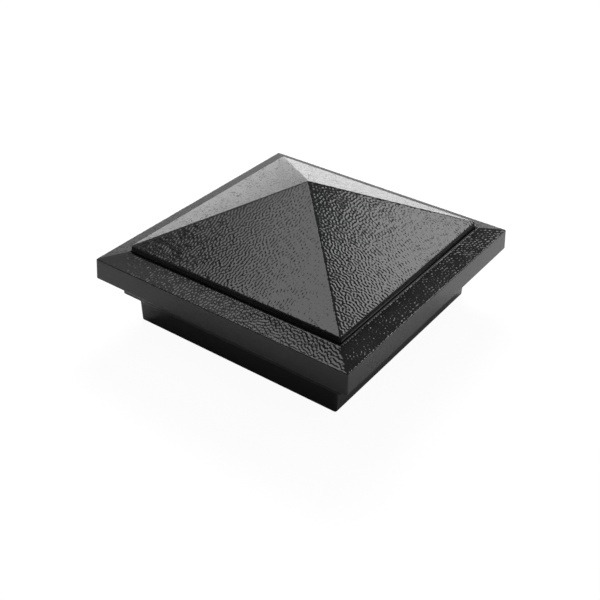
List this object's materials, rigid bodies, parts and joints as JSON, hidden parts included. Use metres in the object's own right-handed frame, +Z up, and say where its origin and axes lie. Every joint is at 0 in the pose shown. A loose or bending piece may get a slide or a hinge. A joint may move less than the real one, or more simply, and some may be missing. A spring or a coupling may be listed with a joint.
{
  "type": "fence post cap",
  "caption": "Square fence post cap: a low grained pyramid cover that lifts off a sloping apron frame, screwed to a stepped collar that slips over a square wood post.",
  "frame": {"origin": "centre of the square mouth of the collar, in the plane of its bottom edge", "axes": "+Z up along the post's axis through the apex of the pyramid; +X and +Y square to two of the sides"},
  "size_m": [0.119, 0.119, 0.059],
  "materials": {
    "cover_black": "black moulded plastic with a semi-gloss pebble grain on the four roof faces and a smooth upright riser",
    "frame_black": "black moulded plastic, pebble grain on the sloping apron, smooth satin rim",
    "collar_black": "smooth satin black moulded plastic",
    "screw_zinc": "bright zinc-plated steel"
  },
  "bodies": {
    "base": {"apron_frame": "frame_black", "post_collar": "collar_black", "frame_screw_1": "screw_zinc", "frame_screw_2": "screw_zinc", "frame_screw_3": "screw_zinc", "frame_screw_4": "screw_zinc"},
    "cover": {"pyramid_cover": "cover_black"}
  },
  "joints": [
    {"name": "cover_lift", "type": "slide", "parent": "base", "child": "cover", "axis": [0, 0, 1], "range_m": [0, 0.03]}
  ]
}
